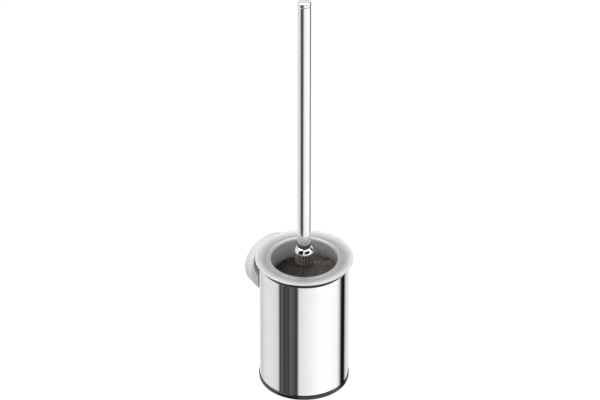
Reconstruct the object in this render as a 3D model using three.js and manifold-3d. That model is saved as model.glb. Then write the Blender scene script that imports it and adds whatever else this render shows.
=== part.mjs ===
// Wall-hung toilet brush set: a chromed tube on a round wall rosette, a frosted glass insert that
// hangs in the tube by its flange, and a brush with a chromed handle that stands in the insert.
// Millimetres, +Z up. The origin is the centre of the face that lies against the wall; the wall is
// the plane Y = 0 and the set reaches out along -Y.
import * as THREE from "three";
import { mergeVertices } from "three/addons/utils/BufferGeometryUtils.js";
import Module from "manifold-3d";

const wasm = await Module();
wasm.setup();

// ---- driving dimensions -------------------------------------------------------------------
const overallHeight = 398.4; // underside of the base cap to the top of the handle
const cupHeight = 129.6; // underside of the base cap to the top of the insert's flange
const flangeAboveMount = 38; // top of the insert's flange above the centre of the rosette
const wallToAxis = 61; // wall to the common axis of tube, insert and brush
const tubeRadius = 40;
const tubeWall = 1.2;
const flangeRadius = 44;
const insertRadius = 34; // outside of the insert's wall
const insertBore = 29.8;
const rodRadius = 6;
const rosetteRadius = 27;
const rosetteDepth = 12;
const gap = 0.3; // between pieces that touch
const turnsToUnscrew = 6;
const threadPitch = 1;

// ---- heights that follow from them --------------------------------------------------------
const flangeTop = flangeAboveMount;
const flangeThickness = 1.7;
const baseBottom = flangeTop - cupHeight;
const handleTop = baseBottom + overallHeight;
const rodBottom = flangeTop + 16.4;
const collarTop = flangeTop + 11.3;
const collarBottom = flangeTop - 4.9;
const capLip = 4.5; // height of the base cap that shows under the tube
const capHead = 3.6; // height of the handle cap that shows above the rod

// ---- materials ----------------------------------------------------------------------------
const finish = (color, roughness, metalness) =>
  new THREE.MeshStandardMaterial({ color, roughness, metalness });
const chrome = finish(0xdddddf, 0.06, 1);
const zincCasting = finish(0x9a9c9e, 0.45, 1);
const steel = finish(0xb4b5b6, 0.3, 1);
const brass = finish(0xb8975a, 0.3, 1);
const frostedGlass = finish(0xdcdada, 0.5, 0);
const blackPlastic = finish(0x1d1b1a, 0.3, 0);
const blackRubber = finish(0x161515, 0.7, 0);
const whiteNylon = finish(0xdedbd2, 0.5, 0);
const blackNylon = finish(0x2a2725, 0.6, 0);

// ---- helpers ------------------------------------------------------------------------------
// Points of an arc in a profile, angles in degrees, centre (r, z).
function arc(r, z, radius, from, to, steps = 3) {
  return Array.from({ length: steps + 1 }, (_, i) => {
    const a = THREE.MathUtils.degToRad(from + ((to - from) * i) / steps);
    return [r + radius * Math.cos(a), z + radius * Math.sin(a)];
  });
}

// A closed profile of [radius, height] points, counter-clockwise, turned about the Z axis.
function turned(profile, segments = 40) {
  const points = [...profile, profile[0]].map(([r, z]) => new THREE.Vector2(Math.max(r, 0), z));
  return new THREE.LatheGeometry(points, segments).rotateX(Math.PI / 2);
}

// A round bar along Z from one height to another.
const bar = (radius, from, to, segments = 24) =>
  turned([[0, from], [radius, from], [radius, to], [0, to]], segments);

// A regular prism along Z, as a hexagon socket or nut; across is measured over the flats.
function prism(across, sides, from, to) {
  const corner = across / 2 / Math.cos(Math.PI / sides);
  return new THREE.CylinderGeometry(corner, corner, to - from, sides)
    .rotateX(Math.PI / 2)
    .translate(0, 0, (from + to) / 2);
}

// A bar with an oblong section, longer along Y, for a screw slot.
function slotBar(radius, length, from, to) {
  const half = length / 2 - radius;
  const outline = new THREE.Shape();
  outline.absarc(0, half, radius, 0, Math.PI);
  outline.absarc(0, -half, radius, Math.PI, 2 * Math.PI);
  return new THREE.ExtrudeGeometry(outline, { depth: to - from, bevelEnabled: false, curveSegments: 5 })
    .translate(0, 0, from);
}

function solid(geometry) {
  const bare = geometry.clone();
  bare.deleteAttribute("normal");
  bare.deleteAttribute("uv");
  const merged = mergeVertices(bare, 1e-4);
  const vertProperties = new Float32Array(merged.attributes.position.array);
  const triVerts = new Uint32Array(merged.index.array);
  return new wasm.Manifold(new wasm.Mesh({ numProp: 3, vertProperties, triVerts }));
}

function geometryOf(made) {
  const mesh = made.getMesh();
  return new THREE.BufferGeometry()
    .setAttribute("position", new THREE.BufferAttribute(new Float32Array(mesh.vertProperties), 3))
    .setIndex(new THREE.BufferAttribute(new Uint32Array(mesh.triVerts), 1));
}

const cut = (body, ...tools) =>
  geometryOf(tools.reduce((left, tool) => left.subtract(solid(tool)), solid(body)));

function piece(name, geometry, material) {
  const mesh = new THREE.Mesh(geometry, material);
  mesh.name = name;
  return mesh;
}

// ---- wall mount: in this group +Z points out of the wall and +Y points up -------------------
const plateRadius = 23;
const plateThickness = 7;
const grooveDistance = 4.5; // wall to the grub screw
const boltRadius = 2.4;
const boltHole = 2.9;
const slotOffset = 14.5; // plate centre to each wall screw slot
const postRadius = 10;

function wallPlate() {
  const grooveDepth = 1.6;
  const grooveHalfWidth = 1.8;
  const nutRecess = { radius: 8.5, floor: 2.5 };
  const headRecess = { radius: 4.6, length: 12, floor: 3.5 };
  const disc = turned([
    [0, 0],
    [plateRadius, 0],
    [plateRadius, grooveDistance - grooveHalfWidth],
    [plateRadius - grooveDepth, grooveDistance],
    [plateRadius, grooveDistance + grooveHalfWidth],
    [plateRadius, plateThickness],
    [0, plateThickness],
  ]);
  const slots = [-slotOffset, slotOffset].flatMap((x) => [
    slotBar(2.5, 8, -1, plateThickness + 1).translate(x, 0, 0),
    slotBar(headRecess.radius, headRecess.length, headRecess.floor, plateThickness + 1).translate(x, 0, 0),
  ]);
  return cut(disc, bar(nutRecess.radius, nutRecess.floor, plateThickness + 1), ...slots);
}

function rosette() {
  const sideWall = 3;
  const frontWall = 2;
  const edge = 1;
  const inner = rosetteRadius - sideWall;
  const shell = turned([
    [inner, 0],
    [rosetteRadius, 0],
    ...arc(rosetteRadius - edge, rosetteDepth - edge, edge, 0, 90),
    [boltHole, rosetteDepth],
    [boltHole, rosetteDepth - frontWall],
    [inner, rosetteDepth - frontWall],
  ]);
  const grubHole = bar(2.2, -rosetteRadius - 1, -inner + 1, 16)
    .rotateX(-Math.PI / 2)
    .translate(0, 0, grooveDistance);
  return cut(shell, grubHole);
}

// Lies across the rosette's lower wall, its cone in the plate's groove.
function grubScrew() {
  const outerEnd = -rosetteRadius + gap;
  const coneStart = -plateRadius - gap;
  const tip = -plateRadius + 0.5;
  const body = turned([
    [0, outerEnd],
    [1.9, outerEnd],
    [1.9, coneStart],
    [0.4, tip],
    [0, tip],
  ], 16);
  const socket = prism(2, 6, outerEnd - 1, outerEnd + 1.6);
  return cut(body, socket).rotateX(-Math.PI / 2).translate(0, 0, grooveDistance);
}

// A bar along Y that stands for the tube's surface when the wall mount's pieces are fitted to it.
const tubeBar = (radius) =>
  bar(radius, -40, 40, 96).rotateX(-Math.PI / 2).translate(0, 0, wallToAxis);

function post() {
  const outer = turned([
    [boltHole, rosetteDepth + gap],
    [postRadius, rosetteDepth + gap],
    [postRadius, wallToAxis - tubeRadius + 6],
    [boltHole, wallToAxis - tubeRadius + 6],
  ], 32);
  return cut(outer, tubeBar(tubeRadius + gap));
}

const innerSide = wallToAxis - tubeRadius + tubeWall; // wall to the inside of the tube's back
const saddleFace = innerSide + 1.8;

function saddleWasher() {
  const blank = turned([[boltHole, innerSide], [7, innerSide], [7, saddleFace], [boltHole, saddleFace]], 24);
  const insideOfTube = solid(tubeBar(tubeRadius - tubeWall - gap));
  return geometryOf(solid(blank).intersect(insideOfTube));
}

const nutStack = rosetteDepth - 2; // inside of the rosette's front wall

function mountingBolt() {
  const headBottom = saddleFace + gap;
  const headHeight = 2;
  const body = turned([
    [0, 3.2],
    [boltRadius - 0.4, 3.2],
    [boltRadius, 3.6],
    [boltRadius, headBottom],
    [4.6, headBottom],
    [4.6, headBottom + 0.8],
    [3.2, headBottom + headHeight],
    [0, headBottom + headHeight],
  ], 24);
  return cut(body, prism(3, 6, headBottom + 0.6, headBottom + headHeight + 1));
}

const lockWasher = () => {
  const top = nutStack - gap;
  return turned([[boltHole, top - 0.8], [4.8, top - 0.8], [4.8, top], [boltHole, top]], 24);
};

function hexNut() {
  const top = nutStack - gap - 0.8 - gap;
  return cut(prism(8, 6, top - 3, top), bar(boltHole, top - 4, top + 1));
}

const wallMount = new THREE.Group();
wallMount.rotation.x = Math.PI / 2;
wallMount.add(
  piece("wall_plate", wallPlate(), steel),
  piece("rosette", rosette(), chrome),
  piece("grub_screw", grubScrew(), steel),
  piece("mounting_post", post(), chrome),
  piece("saddle_washer", saddleWasher(), whiteNylon),
  piece("mounting_bolt", mountingBolt(), steel),
  piece("lock_washer", lockWasher(), steel),
  piece("hex_nut", hexNut(), steel),
);

// ---- cup: tube, base cap, seal ring and glass insert, all about one upright axis -------------
const tubeTop = flangeTop - 6.7;
const tubeBottom = baseBottom + capLip + gap;
const tubeBore = tubeRadius - tubeWall;

function outerTube() {
  const shell = turned([
    [tubeBore, tubeBottom],
    [tubeRadius, tubeBottom],
    [tubeRadius, tubeTop],
    [tubeBore, tubeTop],
  ], 64);
  const boltOpening = bar(boltHole, tubeRadius - 8, tubeRadius + 8, 24).rotateX(-Math.PI / 2);
  return cut(shell, boltOpening);
}

function baseCap() {
  const rimRadius = tubeRadius + 0.7;
  const edge = 1.5;
  const spigot = { outer: tubeBore - gap, inner: tubeBore - gap - 2, top: baseBottom + 15 };
  const floor = { under: baseBottom + 1, over: baseBottom + 3.4, footInner: 33 };
  const shoulder = baseBottom + capLip;
  return turned([
    [0, floor.under],
    [floor.footInner, floor.under],
    [floor.footInner + 1, baseBottom],
    ...arc(rimRadius - edge, baseBottom + edge, edge, -90, 0),
    ...arc(rimRadius - 0.6, shoulder - 0.6, 0.6, 0, 90, 2),
    [spigot.outer, shoulder],
    [spigot.outer, spigot.top],
    [spigot.inner, spigot.top],
    [spigot.inner, floor.over],
    [0, floor.over],
  ]);
}

function sealRing() {
  const inner = insertRadius + 0.6;
  const skirtInner = insertRadius + 1.2;
  const skirtOuter = tubeBore - gap;
  const seat = tubeTop + gap;
  const top = flangeTop - flangeThickness - gap;
  return turned([
    [skirtInner, seat - 5],
    [skirtOuter, seat - 5],
    [skirtOuter, seat],
    ...arc(tubeRadius - 0.7, seat + 0.5, 0.5, -90, 0, 2),
    ...arc(tubeRadius - 0.7, top - 0.5, 0.5, 0, 90, 2),
    [inner, top],
    [inner, seat],
    [skirtInner, seat - 1],
  ]);
}

function glassInsert() {
  const underside = flangeTop - flangeThickness;
  const floorThickness = 4;
  const outerBottom = flangeTop - 108;
  const innerBottom = outerBottom + floorThickness;
  const lip = flangeThickness / 2;
  const mouth = 2; // rounding of the inner edge
  return turned([
    [0, outerBottom],
    ...arc(insertRadius - 8, outerBottom + 8, 8, -90, 0),
    [insertRadius, underside],
    ...arc(flangeRadius - lip, underside + lip, lip, -90, 90, 4),
    ...arc(insertBore + mouth, flangeTop - mouth, mouth, 90, 180, 2),
    ...arc(insertBore - 5, innerBottom + 5, 5, 0, -90),
    [0, innerBottom],
  ]);
}

const cup = new THREE.Group();
cup.position.y = -wallToAxis;
cup.add(
  piece("outer_tube", outerTube(), chrome),
  piece("base_cap", baseCap(), blackPlastic),
  piece("seal_ring", sealRing(), blackRubber),
  piece("glass_insert", glassInsert(), frostedGlass),
);

// ---- brush: handle above, screwed to the head below ----------------------------------------
const coreRadius = 7;
const neckRadius = 5.1;
const studRadius = 2.6;
const studBore = 3;
const washerTop = rodBottom - gap;
const washerBottom = washerTop - 0.8;
const bushBottom = rodBottom + gap;
const coreBottom = collarBottom - 90;

const handleRod = () => {
  const top = handleTop - capHead - gap;
  return turned([
    [rodRadius - 1, rodBottom],
    ...arc(rodRadius - 0.5, rodBottom + 0.5, 0.5, -90, 0, 2),
    [rodRadius, top],
    [rodRadius - 1, top],
  ], 32);
};

function handleCap() {
  const underHead = handleTop - capHead;
  const edge = 1.35;
  return turned([
    [0, underHead - 10],
    [rodRadius - 1 - gap, underHead - 10],
    [rodRadius - 1 - gap, underHead],
    [rodRadius, underHead],
    ...arc(rodRadius - edge, handleTop - edge, edge, 0, 90, 3),
    [0, handleTop],
  ], 32);
}

const threadBush = () => {
  const outer = rodRadius - 1 - gap;
  const top = bushBottom + 12;
  return turned([[studBore, bushBottom], [outer, bushBottom], [outer, top], [studBore, top]], 20);
};

const neckWasher = () =>
  turned([[3.2, washerBottom], [5.3, washerBottom], [5.3, washerTop], [3.2, washerTop]], 20);

const studFoot = collarBottom + 9;

// Reaches as far into the bush as it takes turns of the handle to free it.
const threadStud = () => {
  const top = bushBottom + turnsToUnscrew * threadPitch + 0.6;
  return turned([
    [0, studFoot],
    [studRadius, studFoot],
    [studRadius, top - 0.5],
    [studRadius - 0.5, top],
    [0, top],
  ], 20);
};

function brushCore() {
  const shoulder = collarBottom - gap;
  const neckTop = washerBottom - gap;
  const pocket = studRadius + gap;
  return turned([
    ...arc(0, coreBottom + coreRadius, coreRadius, -90, 0, 5),
    [coreRadius, shoulder],
    [neckRadius, shoulder],
    [neckRadius, neckTop],
    [pocket, neckTop],
    [pocket, studFoot - gap],
    [0, studFoot - gap],
  ], 24);
}

// A turned collar with a smooth cone on top and flutes round its grip.
function collar() {
  const bore = neckRadius + gap;
  const grip = { bottom: 8.1, top: 8.7, height: 11.7 };
  const fluteCount = 20;
  const fluteDepth = 0.7;
  const fluteTop = collarBottom + grip.height - 0.8;
  const blank = turned([
    [bore, collarBottom],
    [grip.bottom, collarBottom],
    [grip.top, collarBottom + grip.height - 0.4],
    [grip.top - 0.2, collarBottom + grip.height],
    [neckRadius + 0.8, collarTop],
    [bore, collarTop],
  ], 40);
  const flute = (i) => {
    const angle = (2 * Math.PI * i) / fluteCount;
    const lean = Math.atan((grip.top - grip.bottom) / grip.height);
    return bar(fluteDepth, -1, fluteTop - collarBottom, 6)
      .rotateY(lean)
      .translate(grip.bottom + 0.15, 0, collarBottom)
      .rotateZ(angle);
  };
  return cut(blank, ...Array.from({ length: fluteCount }, (_, i) => flute(i)));
}

// The tufts stand in rings down the core; each ring is one plain soft solid. The top one slopes
// down from under the collar, as its tufts splay outwards.
const bristleRadius = insertBore - 1;
const ringCount = 9;
const ringPitch = 10;
const firstRing = collarBottom - 2 * gap;

// Outer radius of the tufts at a height: full, and drawn in at the round foot.
function headRadius(z) {
  const footStart = coreBottom + 28;
  const footDepth = 36;
  const t = Math.max(0, (footStart - z) / footDepth);
  return bristleRadius * Math.sqrt(1 - t * t);
}

function bristleRing(i) {
  const collarFoot = 12; // radius at which the slope of the top ring starts
  const inner = coreRadius + gap;
  const top = firstRing - i * ringPitch;
  const bottom = top - ringPitch + gap;
  if (i > 0)
    return turned([
      [inner, bottom],
      [headRadius(bottom), bottom],
      [headRadius(top), top],
      [inner, top],
    ], 24);
  return turned([
    [inner, bottom],
    [bristleRadius, bottom],
    [bristleRadius, bottom + 2],
    [collarFoot, top - 1],
    [inner, top],
  ], 24);
}

function bristleFoot() {
  const top = firstRing - ringCount * ringPitch;
  const bottom = flangeTop - 103.6;
  return turned([
    [0, bottom],
    [12, bottom],
    [headRadius(top) - 3, (top + bottom) / 2],
    [headRadius(top), top],
    [0, top],
  ], 24);
}

const brush = new THREE.Group();
brush.position.y = -wallToAxis;
brush.add(
  piece("handle_rod", handleRod(), chrome),
  piece("handle_cap", handleCap(), chrome),
  piece("thread_bush", threadBush(), brass),
  piece("neck_washer", neckWasher(), whiteNylon),
  piece("thread_stud", threadStud(), steel),
  piece("collar", collar(), chrome),
  piece("brush_core", brushCore(), blackPlastic),
  ...Array.from({ length: ringCount }, (_, i) => piece(`bristle_ring_${i + 1}`, bristleRing(i), blackNylon)),
  piece("bristle_foot", bristleFoot(), blackNylon),
);

const set = new THREE.Group();
set.add(wallMount, cup, brush);

export default set;
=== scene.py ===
import math
import random

import bmesh
import bpy
from mathutils import Matrix, Vector


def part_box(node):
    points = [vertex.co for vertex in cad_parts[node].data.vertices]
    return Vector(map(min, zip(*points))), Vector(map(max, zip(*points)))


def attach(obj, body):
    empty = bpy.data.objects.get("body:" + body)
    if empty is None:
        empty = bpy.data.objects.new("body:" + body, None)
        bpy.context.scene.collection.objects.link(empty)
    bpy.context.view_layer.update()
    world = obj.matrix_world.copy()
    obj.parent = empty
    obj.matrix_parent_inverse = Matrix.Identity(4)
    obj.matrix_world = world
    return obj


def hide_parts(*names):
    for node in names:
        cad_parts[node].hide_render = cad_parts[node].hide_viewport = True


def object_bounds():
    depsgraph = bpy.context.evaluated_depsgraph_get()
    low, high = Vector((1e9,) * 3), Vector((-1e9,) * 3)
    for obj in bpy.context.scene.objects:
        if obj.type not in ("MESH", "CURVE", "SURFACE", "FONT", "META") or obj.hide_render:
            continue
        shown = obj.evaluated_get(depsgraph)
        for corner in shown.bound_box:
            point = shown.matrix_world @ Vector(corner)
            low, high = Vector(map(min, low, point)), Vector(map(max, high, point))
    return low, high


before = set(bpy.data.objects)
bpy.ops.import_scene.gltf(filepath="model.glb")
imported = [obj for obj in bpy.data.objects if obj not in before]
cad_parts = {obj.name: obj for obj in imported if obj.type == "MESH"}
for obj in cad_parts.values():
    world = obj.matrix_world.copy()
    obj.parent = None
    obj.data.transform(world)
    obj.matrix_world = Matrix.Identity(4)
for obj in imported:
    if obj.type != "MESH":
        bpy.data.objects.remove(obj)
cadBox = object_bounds()
print("frame loaded:", len(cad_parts), "nodes")

mm = 0.001
gap = 0.3 * mm  # what touching pieces keep between them
boltHole = 2.9 * mm  # radius, in everything the mounting bolt passes through
grubFromWall = 4.5 * mm  # the grub screw's line, and the groove in the plate that it bites in


def middle(node):
    low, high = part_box(node)
    return (low + high) / 2


def halfWidth(node):
    low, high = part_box(node)
    return (high.x - low.x) / 2


def bottomOf(node):
    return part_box(node)[0].z


def topOf(node):
    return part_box(node)[1].z


def depthRange(node):
    # How far out of the wall a node starts and ends.
    low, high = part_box(node)
    return -high.y, -low.y


cupAxis = middle("outer_tube")  # tube, insert and brush share this upright axis
rimTop = topOf("glass_insert")
tubeRadius = halfWidth("outer_tube")
toCup = Matrix.Translation((cupAxis.x, cupAxis.y, 0))
print("axis at", [round(v, 4) for v in cupAxis], "rim at", round(rimTop, 4))


def softened(points, steps=4):
    # Points are (r, z) or (r, z, fillet); a fillet becomes an arc.
    out = []
    for i, point in enumerate(points):
        here = Vector(point[:2])
        fillet = point[2] if len(point) > 2 else 0
        if not fillet:
            out.append(here)
            continue
        before = (Vector(points[i - 1][:2]) - here).normalized()
        after = (Vector(points[(i + 1) % len(points)][:2]) - here).normalized()
        half = before.angle(after) / 2
        centre = here + (before + after).normalized() * fillet / math.sin(half)
        start = here + before * fillet / math.tan(half) - centre
        end = here + after * fillet / math.tan(half) - centre
        sweep = start.angle_signed(end)
        for k in range(steps + 1):
            turn = Matrix.Rotation(-sweep * k / steps, 2)
            out.append(centre + turn @ start)
    return out


def addPiece(name, mesh):
    piece = bpy.data.objects.new(name, mesh)
    bpy.context.scene.collection.objects.link(piece)
    return piece


def smoothed(piece, sharpAngle):
    mesh = piece.data
    mesh.polygons.foreach_set("use_smooth", [True] * len(mesh.polygons))
    mesh.set_sharp_from_angle(angle=math.radians(sharpAngle))


def evenNormals(piece):
    normals = piece.modifiers.new("evenNormals", "WEIGHTED_NORMAL")
    normals.keep_sharp = True


def finishMesh(name, bm, sharpAngle=40, weighted=True):
    bmesh.ops.recalc_face_normals(bm, faces=bm.faces)
    mesh = bpy.data.meshes.new(name)
    bm.to_mesh(mesh)
    bm.free()
    piece = addPiece(name, mesh)
    smoothed(piece, sharpAngle)
    if weighted:
        evenNormals(piece)
    return piece


def joinRings(bm, a, b):
    # Faces between two rings of vertices; a ring may be one vertex on the axis.
    steps = max(len(a), len(b))
    for k in range(steps):
        n = (k + 1) % steps
        corners = [a[k % len(a)], a[n % len(a)], b[n % len(b)], b[k % len(b)]]
        unique = list(dict.fromkeys(corners))
        if len(unique) > 2:
            bm.faces.new(unique)


def lathe(bm, profile, steps, radiusAt=None, closed=True):
    # Rings of vertices about the Z axis; a point on the axis is one vertex.
    rings = []
    for r, z in profile:
        if r < 1e-7:
            rings.append([bm.verts.new((0, 0, z))])
            continue
        ring = []
        for k in range(steps):
            angle = 2 * math.pi * k / steps
            reach = radiusAt(r, z, angle) if radiusAt else r
            ring.append(bm.verts.new((reach * math.cos(angle), reach * math.sin(angle), z)))
        rings.append(ring)
    pairs = list(zip(rings, rings[1:]))
    if closed:
        pairs.append((rings[-1], rings[0]))
    for a, b in pairs:
        joinRings(bm, a, b)


def turned(name, points, steps=96, at=toCup, sharpAngle=40, radiusAt=None, filletSteps=4):
    bm = bmesh.new()
    lathe(bm, softened(points, filletSteps), steps, radiusAt)
    bm.transform(at)
    return finishMesh(name, bm, sharpAngle)


def outwards(x=0, z=0):
    # The wall mount is turned about a line out of the wall: local Z is -Y and local Y is Z.
    return Matrix.Translation((x, 0, z)) @ Matrix.Rotation(math.pi / 2, 4, "X")


def grubWay():
    # Local Z runs up the rosette from its lower edge.
    return Matrix.Translation((0, -grubFromWall, 0))


def cutAway(piece, *tools):
    piece.modifiers.clear()
    for tool in tools:
        cutter = piece.modifiers.new("cut", "BOOLEAN")
        cutter.operation = "DIFFERENCE"
        cutter.solver = "EXACT"
        cutter.object = tool
    bpy.context.view_layer.update()
    shape = piece.evaluated_get(bpy.context.evaluated_depsgraph_get())
    mesh = bpy.data.meshes.new_from_object(shape)
    piece.modifiers.clear()
    piece.data = mesh
    smoothed(piece, 25)
    evenNormals(piece)
    for tool in tools:
        bpy.data.objects.remove(tool)


def prismTool(across, sides, low, high, at):
    bm = bmesh.new()
    corner = across / 2 / math.cos(math.pi / sides)
    lathe(bm, [(0, low), (corner, low), (corner, high), (0, high)], sides, closed=False)
    bm.transform(at)
    return finishMesh("tool", bm, weighted=False)


def oblongTool(radius, length, low, high, at):
    bm = bmesh.new()
    steps = 16
    ends = length / 2 - radius
    outline = []
    for side in (1, -1):
        for k in range(steps + 1):
            angle = math.pi * k / steps + (0 if side > 0 else math.pi)
            outline.append((radius * math.cos(angle), radius * math.sin(angle) + side * ends))
    face = bm.faces.new([bm.verts.new((x, y, low)) for x, y in outline])
    top = bmesh.ops.extrude_face_region(bm, geom=[face])["geom"]
    corners = [v for v in top if isinstance(v, bmesh.types.BMVert)]
    bmesh.ops.translate(bm, vec=(0, 0, high - low), verts=corners)
    bm.transform(at)
    return finishMesh("tool", bm, weighted=False)


def blank(name):
    material = bpy.data.materials.new(name)
    material.use_nodes = True
    tree = material.node_tree
    return material, tree, tree.nodes["Principled BSDF"]


def feed(tree, socket, value):
    # A number or a colour is set on the socket; anything else is linked to it.
    if isinstance(value, (int, float)):
        socket.default_value = value
    elif isinstance(value, tuple):
        socket.default_value = (*value, 1)
    else:
        tree.links.new(value, socket)


def sums(tree, kind, *values):
    node = tree.nodes.new("ShaderNodeMath")
    node.operation = kind
    for socket, value in zip(node.inputs, values):
        feed(tree, socket, value)
    return node.outputs[0]


def alongAxis(tree, axis):
    # Where a point of the piece lies along X, Y or Z, in metres.
    coords = tree.nodes.new("ShaderNodeTexCoord")
    split = tree.nodes.new("ShaderNodeSeparateXYZ")
    tree.links.new(coords.outputs["Object"], split.inputs[0])
    return split.outputs[axis]


def reachFrom(tree, centre):
    # Distance from an upright axis, in metres.
    coords = tree.nodes.new("ShaderNodeTexCoord")
    offset = tree.nodes.new("ShaderNodeVectorMath")
    offset.operation = "SUBTRACT"
    offset.inputs[1].default_value = (centre.x, centre.y, 0)
    flat = tree.nodes.new("ShaderNodeVectorMath")
    flat.operation = "MULTIPLY"
    flat.inputs[1].default_value = (1, 1, 0)
    length = tree.nodes.new("ShaderNodeVectorMath")
    length.operation = "LENGTH"
    tree.links.new(coords.outputs["Object"], offset.inputs[0])
    tree.links.new(offset.outputs[0], flat.inputs[0])
    tree.links.new(flat.outputs[0], length.inputs[0])
    return length.outputs["Value"]


def noise(tree, scale, detail=3, stretch=(1, 1, 1)):
    coords = tree.nodes.new("ShaderNodeTexCoord")
    mapping = tree.nodes.new("ShaderNodeMapping")
    mapping.inputs["Scale"].default_value = stretch
    texture = tree.nodes.new("ShaderNodeTexNoise")
    texture.inputs["Scale"].default_value = scale
    texture.inputs["Detail"].default_value = detail
    texture.inputs["Roughness"].default_value = 0.5
    tree.links.new(coords.outputs["Object"], mapping.inputs["Vector"])
    tree.links.new(mapping.outputs["Vector"], texture.inputs["Vector"])
    return texture.outputs["Fac"]


def spread(tree, source, low, high, fromLow=0.3, fromHigh=0.7):
    ranged = tree.nodes.new("ShaderNodeMapRange")
    ranged.inputs["From Min"].default_value = fromLow
    ranged.inputs["From Max"].default_value = fromHigh
    ranged.inputs["To Min"].default_value = low
    ranged.inputs["To Max"].default_value = high
    tree.links.new(source, ranged.inputs["Value"])
    return ranged.outputs["Result"]


def shades(tree, source, stops):
    # Stops are (position, colour), from the lowest position up.
    ramp = tree.nodes.new("ShaderNodeValToRGB")
    elements = ramp.color_ramp.elements
    elements.remove(elements[1])
    for index, (position, colour) in enumerate(stops):
        element = elements.new(position) if index else elements[0]
        element.position = position
        element.color = (*colour, 1)
    tree.links.new(source, ramp.inputs["Fac"])
    return ramp.outputs["Color"]


def tint(tree, source, dark, light):
    return shades(tree, source, ((0.35, dark), (0.65, light)))


def blend(tree, share, a, b, kind="MIX"):
    mix = tree.nodes.new("ShaderNodeMix")
    mix.data_type = "RGBA"
    mix.blend_type = kind
    feed(tree, mix.inputs["Factor"], share)
    for socket, value in zip([s for s in mix.inputs if s.type == "RGBA"], (a, b)):
        feed(tree, socket, value)
    return [s for s in mix.outputs if s.type == "RGBA"][0]


def relief(tree, shader, source, strength, depth):
    bump = tree.nodes.new("ShaderNodeBump")
    bump.inputs["Strength"].default_value = strength
    bump.inputs["Distance"].default_value = depth
    tree.links.new(source, bump.inputs["Height"])
    tree.links.new(bump.outputs["Normal"], shader.inputs["Normal"])


def makeChrome(name, wave, roughness=None):
    # Plating with faint clouds and waves; a (low, high) roughness adds fine smudges.
    material, tree, shader = blank(name)
    shader.inputs["Metallic"].default_value = 1
    cloud = tint(tree, noise(tree, 60, 4), (0.925, 0.925, 0.925), (0.95, 0.95, 0.953))
    tree.links.new(cloud, shader.inputs["Base Color"])
    if roughness:
        smudges = spread(tree, noise(tree, 220, 5), *roughness)
        tree.links.new(smudges, shader.inputs["Roughness"])
    relief(tree, shader, noise(tree, 28, 2, (1, 1, 0.35)), wave, 0.4 * mm)
    return material


def makeMetal(name, dark, light, roughness, grain, stretch):
    material, tree, shader = blank(name)
    shader.inputs["Metallic"].default_value = 1
    fine = noise(tree, grain, 4, stretch)
    tree.links.new(tint(tree, fine, dark, light), shader.inputs["Base Color"])
    tree.links.new(spread(tree, fine, *roughness), shader.inputs["Roughness"])
    relief(tree, shader, fine, 0.25, 0.02 * mm)
    return material


def makePlastic(name, dark, light, roughness, grain, bumpDepth, coat=0.0):
    material, tree, shader = blank(name)
    shader.inputs["IOR"].default_value = 1.5
    shader.inputs["Coat Weight"].default_value = coat
    shader.inputs["Coat Roughness"].default_value = 0.06
    cloud = noise(tree, grain, 4)
    tree.links.new(tint(tree, cloud, dark, light), shader.inputs["Base Color"])
    uneven = spread(tree, noise(tree, grain * 2.3, 3), *roughness)
    tree.links.new(uneven, shader.inputs["Roughness"])
    relief(tree, shader, noise(tree, grain * 4, 2), 0.2, bumpDepth)
    return material


chromeFine = makeChrome("chromeFine", 0.02, (0.03, 0.07))
steelSatin = makeMetal(
    "steelSatin", (0.50, 0.50, 0.50), (0.66, 0.66, 0.67), (0.28, 0.42), 500, (1, 6, 1))
nylonWhite = makePlastic(
    "nylonWhite", (0.62, 0.60, 0.55), (0.70, 0.68, 0.63), (0.35, 0.5), 240, 0.02 * mm)
print("shared finishes made")


def place(piece, material, body, node):
    piece.data.materials.clear()
    piece.data.materials.append(material)
    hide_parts(node)
    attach(piece, body)


tube = {
    "wall": 1.2 * mm,
    "edge": 0.35 * mm,
    "steps": 192,
    "wave": 0.05,  # how far the plating's slow waves bend a reflection
    "roughness": (0.02, 0.05),
}


def makeTube():
    low, high = bottomOf("outer_tube"), topOf("outer_tube")
    inner, edge = tubeRadius - tube["wall"], tube["edge"]
    points = [
        (inner, low, edge),
        (tubeRadius, low, edge),
        (tubeRadius, high, edge),
        (inner, high, edge),
    ]
    piece = turned("tubeShell", points, tube["steps"])
    chromeTube = makeChrome("chromeTube", tube["wave"], tube["roughness"])
    place(piece, chromeTube, "holder", "outer_tube")


cap = {
    "footInset": 7 * mm,
    "footRound": 1.7 * mm,
    "recess": 1 * mm,
    "floor": 2.4 * mm,
    "lip": 4.5 * mm,
    "lipRound": 0.5 * mm,
    "spigotWall": 2 * mm,
    "edge": 0.4 * mm,
    "dark": (0.007, 0.0065, 0.006),
    "light": (0.012, 0.011, 0.010),
}


def makeBaseCap():
    low, high, radius = bottomOf("base_cap"), topOf("base_cap"), halfWidth("base_cap")
    edge = cap["edge"]
    spigot = tubeRadius - tube["wall"] - gap
    spigotInner = spigot - cap["spigotWall"]
    shoulder = low + cap["lip"]
    footInner = tubeRadius - cap["footInset"]
    under = low + cap["recess"]
    floor = under + cap["floor"]
    points = [
        (0, under),
        (footInner - 1 * mm, under, edge),
        (footInner, low, edge),
        (radius, low, cap["footRound"]),
        (radius, shoulder, cap["lipRound"]),
        (spigot, shoulder),
        (spigot, high, edge),
        (spigotInner, high, edge),
        (spigotInner, floor, 0.8 * mm),
        (0, floor),
    ]
    piece = turned("baseCap", points, 160, filletSteps=6)
    plasticBlack = makePlastic(
        "plasticBlack", cap["dark"], cap["light"], (0.10, 0.2), 120, 0.01 * mm, coat=0.25)
    place(piece, plasticBlack, "holder", "base_cap")


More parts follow.
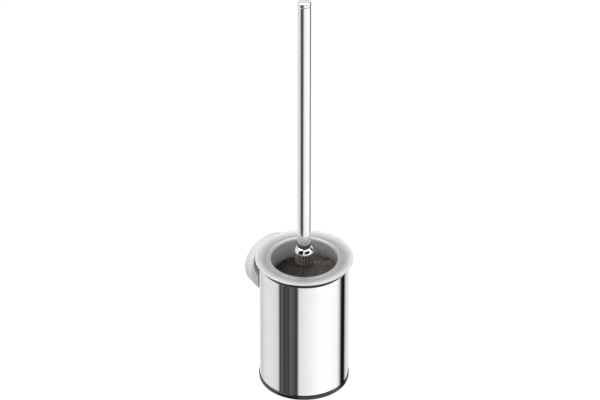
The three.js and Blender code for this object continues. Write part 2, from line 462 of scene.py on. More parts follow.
seal = {
    "skirt": 5 * mm,
    "skirtPlay": 1.2 * mm,  # room between the skirt and the insert
    "lipPlay": 0.6 * mm,
    "grooves": 2,
    "grooveHalf": 0.35 * mm,
    "grooveDepth": 0.35 * mm,
    "round": 0.5 * mm,
    "edge": 0.3 * mm,
}


def makeSealRing():
    top, outer = topOf("seal_ring"), halfWidth("seal_ring")
    seat = topOf("outer_tube") + gap
    skirtFoot = seat - seal["skirt"]
    skirtInner = insert["wallOut"] + seal["skirtPlay"]
    skirtOuter = tubeRadius - tube["wall"] - gap
    lipInner = insert["wallOut"] + seal["lipPlay"]
    half, edge = seal["grooveHalf"], seal["edge"]
    face = [(outer, seat, seal["round"])]
    pitch = (top - seat) / (seal["grooves"] + 1)
    for k in range(1, seal["grooves"] + 1):
        level = seat + k * pitch
        face += [
            (outer, level - half, 0.15 * mm),
            (outer - seal["grooveDepth"], level, 0.2 * mm),
            (outer, level + half, 0.15 * mm),
        ]
    face.append((outer, top, seal["round"]))
    points = [
        (skirtInner, skirtFoot, edge),
        (skirtOuter, skirtFoot, edge),
        (skirtOuter, seat),
        *face,
        (lipInner, top, 0.2 * mm),
        (lipInner, seat),
        (skirtInner, seat - 1 * mm),
    ]
    piece = turned("sealRing", points, 144, filletSteps=3)
    rubberBlack = makePlastic(
        "rubberBlack", (0.010, 0.010, 0.010), (0.02, 0.02, 0.02), (0.55, 0.75), 300, 0.03 * mm)
    place(piece, rubberBlack, "holder", "seal_ring")


insert = {
    "wallOut": 34 * mm,
    "bore": 29.8 * mm,
    "footRound": 8 * mm,
    "flange": 1.7 * mm,
    "rimRound": 0.8 * mm,
    "dishFrom": 43.0 * mm,  # the flange slopes a little, down to a fine groove round the mouth
    "grooveAt": 34.9 * mm,
    "grooveDrop": 0.6 * mm,
    "beadOuter": 34.3 * mm,  # and then comes a low bead
    "beadInner": 32.8 * mm,
    "beadDrop": 0.46 * mm,
    "mouthDrop": 0.9 * mm,
    "mouth": 2 * mm,
    "floor": 4 * mm,
    "shadeFrom": 28 * mm,  # the tint goes with the distance from the axis, between these two
    "shadeTo": 44 * mm,
    "shades": (  # painted light and shade: the rim that stands out past the tube is painted pale, as if lit through from below, and the ring over the tube and round the mouth is painted greyer
        (0.0, (0.60, 0.584, 0.579)),
        (0.18, (0.44, 0.430, 0.427)),
        (0.30, (0.35, 0.342, 0.34)),
        (0.50, (0.36, 0.352, 0.35)),
        (0.90, (0.60, 0.590, 0.588)),
    ),
    "outside": (0.58, 0.572, 0.57),  # the outside below the flange
    "roughness": (0.24, 0.30),
}


def makeFrosted(name):
    material, tree, shader = blank(name)
    shader.inputs["IOR"].default_value = 1.5
    shader.inputs["Subsurface Weight"].default_value = 1
    shader.inputs["Subsurface Radius"].default_value = (1, 1, 1)
    shader.inputs["Subsurface Scale"].default_value = 5 * mm
    reach = reachFrom(tree, cupAxis)
    # Painted light and shade, by the distance from the axis: pale at the rim, greyer over the tube
    # and round the mouth.
    share = spread(tree, reach, 0, 1, insert["shadeFrom"], insert["shadeTo"])
    shade = shades(tree, share, insert["shades"])
    below = spread(tree, alongAxis(tree, "Z"), 1, 0, rimTop - 3 * mm, rimTop - 1.8 * mm)
    beyondBore = spread(tree, reach, 0, 1, 31.5 * mm, 32.5 * mm)
    shade = blend(tree, sums(tree, "MULTIPLY", below, beyondBore), shade, insert["outside"])
    cloud = tint(tree, noise(tree, 90, 4), (0.97, 0.97, 0.97), (1.0, 1.0, 1.0))
    tree.links.new(blend(tree, 1.0, shade, cloud, "MULTIPLY"), shader.inputs["Base Color"])
    grain = noise(tree, 2600, 3)
    tree.links.new(spread(tree, grain, *insert["roughness"]), shader.inputs["Roughness"])
    relief(tree, shader, grain, 0.1, 0.03 * mm)
    return material


def makeInsert():
    low, top, outer = bottomOf("glass_insert"), rimTop, halfWidth("glass_insert")
    under = top - insert["flange"]
    bead = top - insert["beadDrop"]
    floor = low + insert["floor"]
    points = [
        (0, low),
        (insert["wallOut"], low, insert["footRound"]),
        (insert["wallOut"], under, 0.4 * mm),
        (outer, under, insert["rimRound"]),
        (outer, top, insert["rimRound"]),
        (insert["dishFrom"], top, 1.5 * mm),
        (insert["grooveAt"], top - insert["grooveDrop"], 0.1 * mm),
        (insert["beadOuter"], bead, 0.3 * mm),
        (insert["beadInner"], bead, 0.5 * mm),
        (insert["bore"], top - insert["mouthDrop"], insert["mouth"]),
        (insert["bore"], floor, 5 * mm),
        (0, floor),
    ]
    piece = turned("frostedInsert", points, 192, filletSteps=8)
    place(piece, makeFrosted("satinGlass"), "insert", "glass_insert")


makeTube()
makeBaseCap()
makeSealRing()
makeInsert()
print("cup made")


rosette = {
    "sideWall": 3 * mm,
    "frontWall": 2 * mm,
    "edge": 1.1 * mm,
    "backEdge": 0.3 * mm,
    "drill": 4.4 * mm,  # across, for the grub screw
    "shadedFaceTone": (0.31, 0.31, 0.31),  # painted shade on the flat face and painted light on the edge round it, for how light falls on them
    "litEdgeTone": (0.47, 0.47, 0.47),
    "roughness": (0.11, 0.14),
}


def makeSatinChrome(name):
    material, tree, shader = blank(name)
    shader.inputs["Metallic"].default_value = 0.25
    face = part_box("rosette")[0].y
    behindFace = spread(tree, alongAxis(tree, "Y"), 0, 1, face + 0.1 * mm, face + 1 * mm)
    # Painted light and shade: the flat face gets the darker tone, the edge round it the lighter
    # one.
    tone = shades(tree, behindFace, ((0, rosette["shadedFaceTone"]), (1, rosette["litEdgeTone"])))
    tree.links.new(tone, shader.inputs["Base Color"])
    fine = noise(tree, 90, 4)
    tree.links.new(spread(tree, fine, *rosette["roughness"]), shader.inputs["Roughness"])
    relief(tree, shader, fine, 0.25, 0.005 * mm)
    return material


def makeRosette():
    back, front = depthRange("rosette")
    radius = halfWidth("rosette")
    inner = radius - rosette["sideWall"]
    behind = front - rosette["frontWall"]
    points = [
        (inner, back, rosette["backEdge"]),
        (radius, back, rosette["backEdge"]),
        (radius, front, rosette["edge"]),
        (boltHole, front),
        (boltHole, behind),
        (inner, behind, 0.5 * mm),
    ]
    piece = turned("rosetteCover", points, 144, at=outwards(), filletSteps=6)
    cutAway(piece, prismTool(rosette["drill"], 32, -radius - 1 * mm, -inner + 1 * mm, grubWay()))
    place(piece, makeSatinChrome("chromeSatin"), "holder", "rosette")


plate = {
    "edge": 0.3 * mm,
    "grooveDepth": 1.6 * mm,
    "grooveHalf": 1.8 * mm,
    "pocket": 8.5 * mm,  # radius of the recess for the nut
    "pocketFloor": 2.5 * mm,
    "slotAt": 14.5 * mm,
    "slot": (2.5 * mm, 8 * mm),  # radius and length
    "sink": (4.6 * mm, 12 * mm),  # the same, for the screw heads
    "sinkFrom": 3.5 * mm,
}


def makeWallPlate():
    back, front = depthRange("wall_plate")
    radius, edge = halfWidth("wall_plate"), plate["edge"]
    floor = back + plate["pocketFloor"]
    points = [
        (0, back),
        (radius, back, edge),
        (radius, grubFromWall - plate["grooveHalf"]),
        (radius - plate["grooveDepth"], grubFromWall, 0.2 * mm),
        (radius, grubFromWall + plate["grooveHalf"]),
        (radius, front, edge),
        (plate["pocket"], front, 0.2 * mm),
        (plate["pocket"], floor, edge),
        (0, floor),
    ]
    piece = turned("wallPlate", points, 96, at=outwards())
    tools = []
    for side in (-1, 1):
        way = outwards(side * plate["slotAt"])
        tools.append(oblongTool(*plate["slot"], -1 * mm, front + 1 * mm, way))
        tools.append(oblongTool(*plate["sink"], plate["sinkFrom"], front + 1 * mm, way))
    cutAway(piece, *tools)
    place(piece, steelSatin, "holder", "wall_plate")


grub = {
    "radius": 1.9 * mm,
    "edge": 0.2 * mm,
    "barrel": 3.4 * mm,
    "tip": 0.4 * mm,
    "socket": 2 * mm,
    "socketDepth": 1.6 * mm,
}


def makeGrubScrew():
    low, high = bottomOf("grub_screw"), topOf("grub_screw")
    points = [
        (0, low),
        (grub["radius"], low, grub["edge"]),
        (grub["radius"], low + grub["barrel"]),
        (grub["tip"], high),
        (0, high),
    ]
    piece = turned("grubScrew", points, 40, at=grubWay())
    cutAway(piece, prismTool(
        grub["socket"], 6, low - 1 * mm, low + grub["socketDepth"], grubWay()))
    place(piece, steelSatin, "holder", "grub_screw")


def saddleReach(radius, x):
    # Depth out of the wall at which an upright tube of that radius lies, x to the side.
    return -cupAxis.y - math.sqrt(radius * radius - x * x)


def spool(name, rings, steps):
    # Rings are (radius, depth), where the depth may be a function of x.
    bm = bmesh.new()
    loops = []
    for radius, depth in rings:
        loop = []
        for k in range(steps):
            angle = 2 * math.pi * k / steps
            x, z = radius * math.cos(angle), radius * math.sin(angle)
            reach = depth(x) if callable(depth) else depth
            loop.append(bm.verts.new((x, -reach, z)))
        loops.append(loop)
    for a, b in zip(loops, loops[1:] + loops[:1]):
        joinRings(bm, a, b)
    return finishMesh(name, bm)


post = {
    "edge": 0.6 * mm,
    "edgeSteps": 4,
    "waist": ((0.0, 1.6), (0.5, 2.1), (0.5, 3.0), (0.0, 3.5)),  # a turned groove: depth, place, mm
    "tubeEdge": 0.15 * mm,
}


def makePost():
    start = depthRange("mounting_post")[0]
    radius, edge = halfWidth("mounting_post"), post["edge"]

    def onTube(x):
        return saddleReach(tubeRadius + gap, x)

    def nearTube(x):
        return onTube(x) - 0.5 * mm

    rings = [(boltHole, start), (radius - edge, start)]
    for k in range(1, post["edgeSteps"] + 1):
        angle = math.pi / 2 * k / post["edgeSteps"]
        rings.append((
            radius - edge + edge * math.sin(angle),
            start + edge * (1 - math.cos(angle)),
        ))
    rings += [(radius - dip * mm, start + way * mm) for dip, way in post["waist"]]
    rings += [(radius, nearTube), (radius - post["tubeEdge"], onTube), (boltHole, onTube)]
    piece = spool("mountingPost", rings, 128)
    place(piece, chromeFine, "holder", "mounting_post")


saddle = {"edge": 0.25 * mm, "steps": 72}


def makeSaddleWasher():
    radius, edge = halfWidth("saddle_washer"), saddle["edge"]
    face = depthRange("saddle_washer")[1]

    def onTube(x):
        return saddleReach(tubeRadius - tube["wall"] - gap, x)

    rings = [
        (boltHole, onTube),
        (radius, onTube),
        (radius, face - edge),
        (radius - edge, face),
        (boltHole, face),
    ]
    piece = spool("saddleWasher", rings, saddle["steps"])
    place(piece, nylonWhite, "holder", "saddle_washer")


bolt = {
    "shank": 2.4 * mm,
    "pitch": 0.8 * mm,
    "threadDepth": 0.35 * mm,
    "threadEnd": 9 * mm,
    "head": 2 * mm,
    "crown": 3.2 * mm,
    "socket": 3 * mm,
    "socketFloor": 0.6 * mm,
}


def makeBolt():
    back, front = depthRange("mounting_bolt")
    shank, head, pitch = bolt["shank"], halfWidth("mounting_bolt"), bolt["pitch"]
    underHead = front - bolt["head"]
    thread = []
    level = back + pitch
    while level < back + bolt["threadEnd"]:
        thread += [(shank, level), (shank - bolt["threadDepth"], level + pitch / 2)]
        level += pitch
    points = [
        (0, back),
        (shank - 0.4 * mm, back),
        *thread,
        (shank, level),
        (shank, underHead),
        (head, underHead, 0.2 * mm),
        (head, underHead + 0.8 * mm, 0.3 * mm),
        (bolt["crown"], front, 0.5 * mm),
        (0, front),
    ]
    piece = turned("mountingBolt", points, 48, at=outwards())
    cutAway(piece, prismTool(
        bolt["socket"], 6, underHead + bolt["socketFloor"], front + 1 * mm, outwards()))
    place(piece, steelSatin, "holder", "mounting_bolt")


lockWasher = {"steps": 60, "split": 8, "spring": 0.12 * mm}  # the split is in degrees


def makeLockWasher():
    low, high = depthRange("lock_washer")
    outer = halfWidth("lock_washer")
    split = math.radians(lockWasher["split"])
    bm = bmesh.new()
    sections = []
    for k in range(lockWasher["steps"] + 1):
        share = k / lockWasher["steps"]
        angle = split / 2 + (2 * math.pi - split) * share
        lift = (share - 0.5) * lockWasher["spring"]
        section = []
        for r, z in [(boltHole, low), (outer, low), (outer, high), (boltHole, high)]:
            depth = min(max(z + lift, low), high)
            section.append(bm.verts.new((r * math.cos(angle), -depth, r * math.sin(angle))))
        sections.append(section)
    for a, b in zip(sections, sections[1:]):
        joinRings(bm, a, b)
    bm.faces.new(sections[0])
    bm.faces.new(sections[-1])
    piece = finishMesh("lockWasher", bm)
    place(piece, steelSatin, "holder", "lock_washer")


nut = {"halfAcross": 4 * mm, "chamfer": 0.35 * mm}


def makeNut():
    low, high = depthRange("hex_nut")
    chamfer, flat = nut["chamfer"], nut["halfAcross"]
    corner = flat / math.cos(math.pi / 6)

    def hexReach(r, z, angle):
        if r < corner * 0.8:
            return r
        inSide = (angle + math.pi / 6) % (math.pi / 3) - math.pi / 6
        return min(r, flat / math.cos(inSide))

    points = [
        (boltHole, low),
        (corner - 2 * chamfer, low),
        (corner, low + chamfer),
        (corner, high - chamfer),
        (corner - 2 * chamfer, high),
        (boltHole, high),
    ]
    upright = outwards() @ Matrix.Rotation(math.pi / 6, 4, "Z")
    piece = turned("hexNut", points, 96, at=upright, radiusAt=hexReach)
    place(piece, steelSatin, "holder", "hex_nut")


makeRosette()
makeWallPlate()
makeGrubScrew()
makePost()
makeSaddleWasher()
makeBolt()
makeLockWasher()
makeNut()
print("wall mount made")


rod = {
    "wall": 1 * mm,
    "footRound": 0.9 * mm,
    "seamRound": 0.25 * mm,  # where the rod meets its cap
    "roughness": (0.13, 0.16),
}


def makeRod():
    low, high, radius = bottomOf("handle_rod"), topOf("handle_rod"), halfWidth("handle_rod")
    inner = radius - rod["wall"]
    points = [
        (inner, low),
        (radius, low, rod["footRound"]),
        (radius, high, rod["seamRound"]),
        (inner, high),
    ]
    piece = turned("handleRod", points, 96)
    chromeRod = makeChrome("chromeRod", 0.02, rod["roughness"])
    place(piece, chromeRod, "handle", "handle_rod")


rodCap = {"plug": 4.7 * mm, "plugRound": 0.5 * mm, "round": 1.35 * mm}


def makeRodCap():
    low, high, radius = bottomOf("handle_cap"), topOf("handle_cap"), halfWidth("handle_cap")
    shoulder = topOf("handle_rod") + gap
    points = [
        (0, low),
        (rodCap["plug"], low, rodCap["plugRound"]),
        (rodCap["plug"], shoulder),
        (radius, shoulder, rod["seamRound"]),
        (radius, high, rodCap["round"]),
        (0, high),
    ]
    piece = turned("handleCap", points, 96, filletSteps=6)
    place(piece, chromeFine, "handle", "handle_cap")


bush = {
    "bore": 3 * mm,
    "boreEdge": 0.2 * mm,
    "edge": 0.3 * mm,
    "knurls": 24,
    "knurlDepth": 0.12 * mm,
}


def makeBush():
    low, high, radius = bottomOf("thread_bush"), topOf("thread_bush"), halfWidth("thread_bush")

    def knurled(r, z, angle):
        if r < radius * 0.9:
            return r
        return r - bush["knurlDepth"] * (0.5 + 0.5 * math.cos(bush["knurls"] * angle))

    points = [
        (bush["bore"], low, bush["boreEdge"]),
        (radius, low, bush["edge"]),
        (radius, high, bush["edge"]),
        (bush["bore"], high, bush["boreEdge"]),
    ]
    piece = turned("threadBush", points, bush["knurls"] * 6, radiusAt=knurled)
    brassTurned = makeMetal(
        "brassTurned", (0.66, 0.47, 0.20), (0.78, 0.58, 0.28), (0.22, 0.36), 400, (1, 1, 8))
    place(piece, brassTurned, "handle", "thread_bush")


neckRing = {"bore": 3.2 * mm, "edge": 0.2 * mm}


def makeNeckWasher():
    low, high, radius = bottomOf("neck_washer"), topOf("neck_washer"), halfWidth("neck_washer")
    bore, edge = neckRing["bore"], neckRing["edge"]
    points = [(bore, low), (radius, low, edge), (radius, high, edge), (bore, high)]
    piece = turned("neckWasher", points, 64)
    place(piece, nylonWhite, "neck_washer", "neck_washer")


stud = {
    "pitch": 1 * mm,
    "threadDepth": 0.3 * mm,
    "steps": 32,
    "lead": 0.5 * mm,  # the thread fades out over this length at the top
    "leadDepth": 0.4 * mm,
}


def makeStud():
    low, high, radius = bottomOf("thread_stud"), topOf("thread_stud"), halfWidth("thread_stud")
    pitch, steps = stud["pitch"], stud["steps"]
    bm = bmesh.new()
    rows = int((high - low) / (pitch / 4))
    rings = []
    for row in range(rows + 1):
        z = low + (high - low) * row / rows
        fade = min(1, (high - z) / stud["lead"])
        ring = []
        for k in range(steps):
            share = k / steps
            turn = ((z - low) / pitch - share) % 1
            ridge = 1 - abs(2 * turn - 1)
            r = radius - stud["threadDepth"] * (1 - ridge) - stud["leadDepth"] * (1 - fade)
            angle = 2 * math.pi * share
            ring.append(bm.verts.new((r * math.cos(angle), r * math.sin(angle), z)))
        rings.append(ring)
    for a, b in zip(rings, rings[1:]):
        joinRings(bm, a, b)
    bm.faces.new(rings[0])
    bm.faces.new(rings[-1])
    bm.transform(toCup)
    piece = finishMesh("threadStud", bm, sharpAngle=60, weighted=False)
    place(piece, steelSatin, "brush_head", "thread_stud")


collar = {
    "flutes": 20,
    "fluteDepth": 0.75 * mm,
    "ridge": 2.2,  # higher makes the ridges between the flutes narrower
    "grip": 11.7 * mm,
    "gripRows": 14,
    "taper": 0.6 * mm,
    "bore": 5.4 * mm,
    "coneTop": 5.9 * mm,
    "coneSteps": 12,
    "coneSteep": 6,  # slope of the cone's side at its foot and at its top, degrees off upright
    "coneFlat": 49,
    "bright": 0.08,  # roughness in the flutes
    "worn": 0.46,  # and on the ridges between them
    "cone": 0.12,  # share of it that is left on the cone
}


def makeCollarChrome(name):
    # Bright on the cone and in the flutes; the ridges between the flutes are worn satin.
    material = makeChrome(name, 0.02)
    tree = material.node_tree
    low, radius, taper = bottomOf("collar"), halfWidth("collar"), collar["taper"]
    gripTop = low + collar["grip"]
    slope = taper / collar["grip"]
    height = alongAxis(tree, "Z")
    surface = sums(tree, "MULTIPLY_ADD", height, -slope, slope * low - radius + taper)
    depth = sums(tree, "ADD", surface, reachFrom(tree, cupAxis))
    worn = spread(tree, depth, collar["bright"], collar["worn"], -0.22 * mm, -0.06 * mm)
    onGrip = spread(tree, height, 1, collar["cone"], gripTop - 0.3 * mm, gripTop)
    shader = tree.nodes["Principled BSDF"]
    tree.links.new(sums(tree, "MULTIPLY", worn, onGrip), shader.inputs["Roughness"])
    return material


def makeCollar():
    low, high, radius = bottomOf("collar"), topOf("collar"), halfWidth("collar")
    bore, rows = collar["bore"], collar["gripRows"]
    gripTop = low + collar["grip"]
    foot = radius - collar["taper"]

    def fluted(r, z, angle):
        if r < bore + 0.6 * mm or z > gripTop - 0.7 * mm:
            return r
        fade = min(1, (gripTop - 0.7 * mm - z) / (0.9 * mm))
        wave = 0.5 - 0.5 * math.cos(collar["flutes"] * angle)
        return r - collar["fluteDepth"] * fade * (1 - wave ** collar["ridge"])

    grip = []
    for k in range(rows + 1):
        level = low + 0.25 * mm + (gripTop - 0.65 * mm - low) * k / rows
        grip.append((foot + (radius - foot) * k / rows, level))
    steep, flat = math.radians(collar["coneSteep"]), math.radians(collar["coneFlat"])
    swell = (high - gripTop) / (math.sin(flat) - math.sin(steep))
    cone = []
    for k in range(1, collar["coneSteps"] + 1):
        angle = steep + (flat - steep) * k / collar["coneSteps"]
        inwards = (math.cos(steep) - math.cos(angle)) / (math.cos(steep) - math.cos(flat))
        cone.append((
            radius + (collar["coneTop"] - radius) * inwards,
            gripTop + swell * (math.sin(angle) - math.sin(steep)),
        ))
    points = [
        (bore, low),
        (foot - 0.2 * mm, low),
        *grip,
        (radius, gripTop, 0.1 * mm),
        *cone,
        (bore, high),
    ]
    steps = collar["flutes"] * 12
    piece = turned("collar", points, steps, radiusAt=fluted, sharpAngle=50)
    place(piece, makeCollarChrome("chromeCollar"), "brush_head", "collar")


core = {
    "stem": 7 * mm,
    "footRound": 5 * mm,
    "neck": 5.1 * mm,
    "neckTop": 5.85 * mm,  # wider above the collar
    "pocket": 2.9 * mm,
    "dark": (0.060, 0.052, 0.049),
    "light": (0.085, 0.076, 0.072),
}


def makeCore():
    low, top = bottomOf("brush_core"), topOf("brush_core")
    shoulder = bottomOf("collar") - gap
    aboveCollar = topOf("collar") + gap
    pocketFloor = bottomOf("thread_stud") - gap
    points = [
        (0, low),
        (core["stem"], low, core["footRound"]),
        (core["stem"], shoulder, 0.4 * mm),
        (core["neck"], shoulder),
        (core["neck"], aboveCollar),
        (core["neckTop"], aboveCollar, 0.1 * mm),
        (core["neckTop"], top, 0.3 * mm),
        (core["pocket"], top, 0.2 * mm),
        (core["pocket"], pocketFloor),
        (0, pocketFloor),
    ]
    piece = turned("brushCore", points, 72, filletSteps=6)
    coreBlack = makePlastic(
        "coreBlack", core["dark"], core["light"], (0.26, 0.40), 160, 0.02 * mm)
    place(piece, coreBlack, "brush_head", "brush_core")


makeRod()
makeRodCap()
makeBush()
makeNeckWasher()
makeStud()
makeCollar()
makeCore()
print("handle and collar made")


bristle = {
    "thickness": 0.21 * mm,
    "segments": 5,
    "rows": 2,  # of tufts in each ring
    "seed": 41,
    "lean": Vector((0, -1, 0)),  # the head stands a little tilted, high on this side
    "ragged": Vector((0.96, 0.27, 0)),  # and its tufts are ruffled on this one
    "dark": (0.048, 0.041, 0.037),
    "light": (0.142, 0.126, 0.114),
}
sideTufts = {
    "perRow": 15,
    "strands": 46,
    "loose": 1.9,  # how far the tips wander up and down, mm
    "bend": 2.2,  # higher keeps a filament level for longer before it turns up
    "rise": 1.5,  # of the tips, mm; then for the tilt, and for each lower row
    "tilt": 2.5,
    "rowRise": 0,
}
topTufts = {
    "perRow": 26,
    "strands": 54,
    "loose": 1.1,
    "bend": 1.2,
    "rise": -7.2,
    "tilt": 5.6,
    "rowRise": 3.2,
    "ruffle": (-1.0, 4.6),  # least and most that a ruffled tuft stands up, mm
    "calm": 0.15,  # share of that on the smooth side
}


def makeBristle(name):
    material, tree, shader = blank(name)
    shader.inputs["IOR"].default_value = 1.53
    shader.inputs["Specular IOR Level"].default_value = 0.15
    strands = noise(tree, 900, 2, (1, 1, 0.4))
    colour = tint(tree, strands, bristle["dark"], bristle["light"])
    tree.links.new(colour, shader.inputs["Base Color"])
    sheen = spread(tree, noise(tree, 300, 2), 0.38, 0.6)
    tree.links.new(sheen, shader.inputs["Roughness"])
    relief(tree, shader, strands, 0.1, 0.05 * mm)
    return material


def strand(bm, points):
    # A thin three-sided filament along the points, closed at both ends.
    rings = []
    for i, point in enumerate(points):
        last = i == len(points) - 1
        ahead = (points[i if last else i + 1] - points[max(i - 1, 0)]).normalized()
        side = ahead.cross(Vector((0, 0, 1)))
        if side.length > 0.05:
            side.normalize()
        else:
            side = ahead.cross(Vector((1, 0, 0))).normalized()
        other = ahead.cross(side)
        size = bristle["thickness"] * (0.75 if last else 1)
        ring = []
        for k in range(3):
            angle = 2.0944 * k
            spot = point + size * (side * math.cos(angle) + other * math.sin(angle))
            ring.append(bm.verts.new(spot))
        rings.append(ring)
    for a, b in zip(rings, rings[1:]):
        joinRings(bm, a, b)
    bm.faces.new(rings[0][::-1])
    bm.faces.new(rings[-1])


def growTuft(bm, dice, kind, angle, rootZ, reach, rise, wall):
    # Filaments leave one hole in the core, fan out, and turn up where they meet the wall.
    outward = Vector((math.cos(angle), math.sin(angle), 0))
    aside = Vector((-outward.y, outward.x, 0))
    root = core["stem"] - 0.6 * mm
    for _ in range(kind["strands"]):
        fan = dice.gauss(0, 1)
        lift = dice.gauss(0, 1)
        length = reach * (1 + dice.uniform(-0.06, 0.02))
        tip = rise + lift * kind["loose"] * mm
        wander = dice.gauss(0, 0.5) * mm
        points = []
        for k in range(bristle["segments"] + 1):
            t = k / bristle["segments"]
            r = root + (length - core["stem"]) * (1 - (1 - t) ** 1.25)
            across = fan * (0.5 + 2.3 * t) * mm + wander * t * t
            spot = outward * min(r, wall) + aside * across
            if spot.length > wall:
                spot *= wall / spot.length
            spot.z = rootZ + lift * 0.35 * mm + tip * t ** kind["bend"]
            points.append(spot)
        strand(bm, points)


def makeBristles():
    rings = [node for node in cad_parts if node.startswith("bristle_ring_")]
    rings.sort(key=topOf, reverse=True)
    for index, node in enumerate(rings):
        dice = random.Random(bristle["seed"] + index)
        low, high = bottomOf(node), topOf(node)
        wall = halfWidth(node)
        kind = sideTufts if index else topTufts
        bm = bmesh.new()
        for row in range(bristle["rows"]):
            rootZ = high - (high - low) * (row + 0.5) / bristle["rows"]
            for k in range(kind["perRow"]):
                angle = 2 * math.pi * (k + 0.5 * row + 0.3 * index) / kind["perRow"]
                angle += dice.uniform(-0.05, 0.05)
                outward = Vector((math.cos(angle), math.sin(angle), 0))
                side = outward.dot(bristle["lean"])
                rise = (kind["rise"] + kind["tilt"] * side + kind["rowRise"] * row) * mm
                if kind is topTufts:
                    ruffled = kind["calm"] + max(0, outward.dot(bristle["ragged"]))
                    rise += dice.uniform(*kind["ruffle"]) * ruffled * mm
                reach = wall - (0.2 + 0.7 * (1 - side)) * mm
                growTuft(bm, dice, kind, angle, rootZ, reach, rise, wall)
        bm.transform(toCup)
        name = "bristles_" + node.split("_")[-1]
        piece = finishMesh(name, bm, sharpAngle=80, weighted=False)
        place(piece, bristleNylon, "brush_head", node)


footTufts = {
    "rings": ((1, 0.0), (7, 0.45), (12, 0.85)),  # tufts, and share of the full spread
    "strands": 46,
    "spread": 17 * mm,
    "rootSpread": 5.5 * mm,
    "fan": 1.5 * mm,
    "segments": 3,
}


def makeFootBristles():
    dice = random.Random(bristle["seed"] - 1)
    low, coreFoot = bottomOf("bristle_foot"), bottomOf("brush_core")
    bm = bmesh.new()
    for ringIndex, (count, share) in enumerate(footTufts["rings"]):
        for k in range(count):
            angle = 2 * math.pi * (k + 0.5 * ringIndex) / count
            outward = Vector((math.cos(angle), math.sin(angle), 0)) * share
            for _ in range(footTufts["strands"]):
                fan = Vector((dice.gauss(0, 1), dice.gauss(0, 1), 0)) * footTufts["fan"]
                end = outward * footTufts["spread"] + fan
                end.z = low + dice.uniform(0.1, 1.6) * mm + end.length * 0.16
                root = outward * footTufts["rootSpread"] + fan * 0.2
                root.z = coreFoot + 5 * mm * (1 - math.cos(share))
                points = []
                for step in range(footTufts["segments"] + 1):
                    t = step / footTufts["segments"]
                    point = root.lerp(end, t)
                    point.z = root.z + (end.z - root.z) * t ** 1.3
                    points.append(point)
                strand(bm, points)
    bm.transform(toCup)
    piece = finishMesh("bristles_foot", bm, sharpAngle=80, weighted=False)
    place(piece, bristleNylon, "brush_head", "bristle_foot")


bristleNylon = makeBristle("bristleNylon")
makeBristles()
makeFootBristles()
print("bristles made")


stage = {"floorBelow": 0.35, "floorSize": 12.0, "glow": 1.02}


def makeFloor():
    bm = bmesh.new()
    bmesh.ops.create_grid(bm, x_segments=2, y_segments=2, size=stage["floorSize"] / 2)
    mesh = bpy.data.meshes.new("floor")
    bm.to_mesh(mesh)
    bm.free()
    floor = addPiece("floor", mesh)
    floor.location.z = cadBox[0].z - stage["floorBelow"]
    material = bpy.data.materials.new("paleFloor")
    material.use_nodes = True
    tree = material.node_tree
    tree.nodes.clear()
    glow = tree.nodes.new("ShaderNodeEmission")
    glow.inputs["Color"].default_value = (1, 1, 1, 1)
    glow.inputs["Strength"].default_value = stage["glow"]
    side = tree.nodes.new("ShaderNodeNewGeometry")
    clear = tree.nodes.new("ShaderNodeBsdfTransparent")
    choice = tree.nodes.new("ShaderNodeMixShader")
    output = tree.nodes.new("ShaderNodeOutputMaterial")
    tree.links.new(side.outputs["Backfacing"], choice.inputs[0])  # clear from below
    tree.links.new(glow.outputs["Emission"], choice.inputs[1])
    tree.links.new(clear.outputs[0], choice.inputs[2])
    tree.links.new(choice.outputs[0], output.inputs["Surface"])
    mesh.materials.append(material)
    floor.visible_glossy = False
    floor.visible_diffuse = False
    floor.visible_transmission = False
    floor.visible_shadow = False


studio = {
    # Brightness round the object, by heading in degrees; 0 is straight out of the wall.
    "bands": (
        (-180, 0.58), (-156, 0.72), (-146, 0.79), (-118, 0.775), (-106, 0.72), (-99.5, 0.62),
        (-96.5, 0.14), (-92.5, 0.035), (-90, 0.13), (-86.5, 0.115), (-84, 0.048),
        (-75, 0.078), (-70, 0.045), (-66.5, 0.115), (-57, 0.105), (-52.5, 0.056),
        (-46.5, 0.07), (-43.5, 0.60), (-41, 0.775), (-18, 0.905), (0, 1.0), (14, 1.06),
        (40, 1.06), (66, 0.985), (74, 0.70), (78.5, 0.40), (82.5, 0.03), (90, 0.006),
        (97, 0.006), (101, 0.12), (105.5, 0.58), (118, 0.79),
    ),
    "shadeTint": (1.0, 0.92, 0.86),  # the dark bands are slightly warm
    "fill": (0.90, 0.90, 0.905),  # even light on matt surfaces
    "backdrop": 1.02,
    "canopy": 9,  # a soft lamp over the wall, in reflections only
    "canopyFrom": 50,  # its lower and upper edge, degrees above the horizon
    "canopyTo": 86,
    "lamps": (  # name, heading, rise, apparent size in degrees, power and the piece it lights
        ("keyLamp", -26.8, 39, 1, 5, "rosetteCover"),
        ("wallLamp", 150, 52, 20, 0.75, "frostedInsert"),
    ),
    "flags": (  # dark flags beside the camera: heading, half width, rise and half height
        (9, 33, 24, 20),
        (-70, 26, 24, 20),
    ),
    "flagColour": (0.012, 0.010, 0.009),
}


def bandColour(value):
    warm = max(0, 1 - value / 0.3)
    return [value * (1 - warm + warm * part) for part in studio["shadeTint"]]


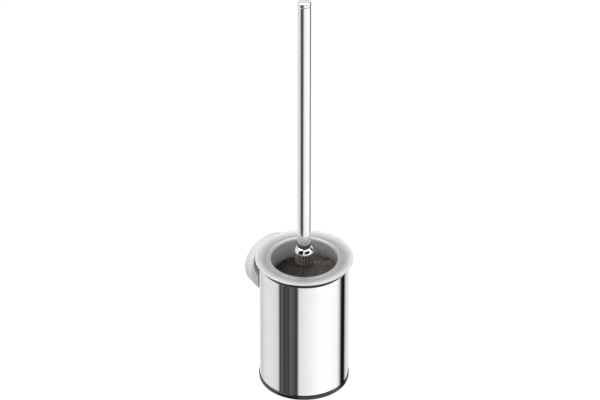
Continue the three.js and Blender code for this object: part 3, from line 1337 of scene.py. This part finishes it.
def makeWorld():
    world = bpy.data.worlds.new("studio")
    bpy.context.scene.world = world
    world.use_nodes = True
    tree = world.node_tree
    tree.nodes.clear()
    add = tree.nodes.new
    link = tree.links.new

    def step(value, low, high):
        ranged = add("ShaderNodeMapRange")
        ranged.interpolation_type = "SMOOTHSTEP"
        ranged.inputs["From Min"].default_value = low
        ranged.inputs["From Max"].default_value = high
        link(value, ranged.inputs["Value"])
        return ranged.outputs["Result"]

    def backwards(value):
        return sums(tree, "MULTIPLY", value, -1)

    def degrees(value):
        return sums(tree, "MULTIPLY", value, 180 / math.pi)

    def fourthPower(value, centre, half):
        offset = sums(tree, "DIVIDE", sums(tree, "SUBTRACT", value, centre), half)
        return sums(tree, "POWER", sums(tree, "ABSOLUTE", offset), 4)

    way = add("ShaderNodeSeparateXYZ")
    link(add("ShaderNodeTexCoord").outputs["Generated"], way.inputs[0])
    heading = degrees(sums(tree, "ARCTAN2", way.outputs["X"], backwards(way.outputs["Y"])))
    rise = degrees(sums(tree, "ARCSINE", way.outputs["Z"]))

    stops = [(angle / 360 + 0.5, bandColour(value)) for angle, value in studio["bands"]]
    lit = shades(tree, sums(tree, "ADD", sums(tree, "DIVIDE", heading, 360), 0.5), stops)

    low, high = studio["canopyFrom"], studio["canopyTo"]
    aboveEdge = step(rise, low - 4, low + 4)
    underTop = step(backwards(rise), -high, 8 - high)
    overWall = step(way.outputs["Y"], -0.05, 0.05)
    canopy = sums(tree, "MULTIPLY", sums(tree, "MULTIPLY", aboveEdge, underTop), overWall)
    lit = blend(tree, canopy, lit, (studio["canopy"],) * 3)
    for flagHeading, wide, flagRise, tall in studio["flags"]:
        across = fourthPower(heading, flagHeading, wide)
        upward = fourthPower(rise, flagRise, tall)
        inFlag = step(backwards(sums(tree, "ADD", across, upward)), -1.4, -0.8)
        lit = blend(tree, inFlag, lit, studio["flagColour"])

    rays = add("ShaderNodeLightPath")
    background = add("ShaderNodeBackground")
    seen = blend(tree, rays.outputs["Is Glossy Ray"], studio["fill"], lit)
    link(seen, background.inputs["Color"])
    plain = add("ShaderNodeBackground")
    plain.inputs["Color"].default_value = (1, 1, 1, 1)
    plain.inputs["Strength"].default_value = studio["backdrop"]
    choice = add("ShaderNodeMixShader")
    output = add("ShaderNodeOutputWorld")
    link(rays.outputs["Is Camera Ray"], choice.inputs[0])
    link(background.outputs[0], choice.inputs[1])
    link(plain.outputs[0], choice.inputs[2])
    link(choice.outputs[0], output.inputs["Surface"])


def towards(heading, rise):
    # Both in radians.
    flat = math.cos(rise)
    return Vector((math.sin(heading) * flat, -math.cos(heading) * flat, math.sin(rise)))


camera = {
    "heading": -29.5,
    "rise": 34.5,
    "away": 4.92,
    "lens": 330,
    "rimBelow": 0.591,  # degrees from the lens axis down to the middle of the rim
    "rimRight": 0.044,
    "roll": 0.1,
}


def makeCamera():
    data = bpy.data.cameras.new("camera")
    data.lens = camera["lens"]
    data.sensor_width = 36
    data.clip_end = 50
    eye = bpy.data.objects.new("camera", data)
    bpy.context.scene.collection.objects.link(eye)
    heading, rise = math.radians(camera["heading"]), math.radians(camera["rise"])
    rim = Vector((cupAxis.x, cupAxis.y, rimTop))
    eye.location = rim + towards(heading, rise) * camera["away"]
    aim = Matrix.Rotation(heading, 4, "Z") @ Matrix.Rotation(math.pi / 2 - rise, 4, "X")
    for entry, axis in (("rimRight", "Y"), ("rimBelow", "X"), ("roll", "Z")):
        aim = aim @ Matrix.Rotation(math.radians(camera[entry]), 4, axis)
    eye.rotation_euler = aim.to_euler()
    bpy.context.scene.camera = eye


def makeLamp(name, heading, rise, size, power, target):
    # A distant lamp that lights one piece.
    data = bpy.data.lights.new(name, "SUN")
    data.energy = power
    data.angle = math.radians(size)
    lamp = bpy.data.objects.new(name, data)
    bpy.context.scene.collection.objects.link(lamp)
    way = towards(math.radians(heading), math.radians(rise))
    lamp.rotation_euler = way.to_track_quat("Z", "Y").to_euler()
    lit = bpy.data.collections.new(name + "Target")
    lit.objects.link(bpy.data.objects[target])
    lamp.light_linking.receiver_collection = lit


makeFloor()
makeWorld()
makeCamera()
for lamp in studio["lamps"]:
    makeLamp(*lamp)
bpy.context.scene.view_settings.view_transform = "Standard"
print("stage, light and camera made")
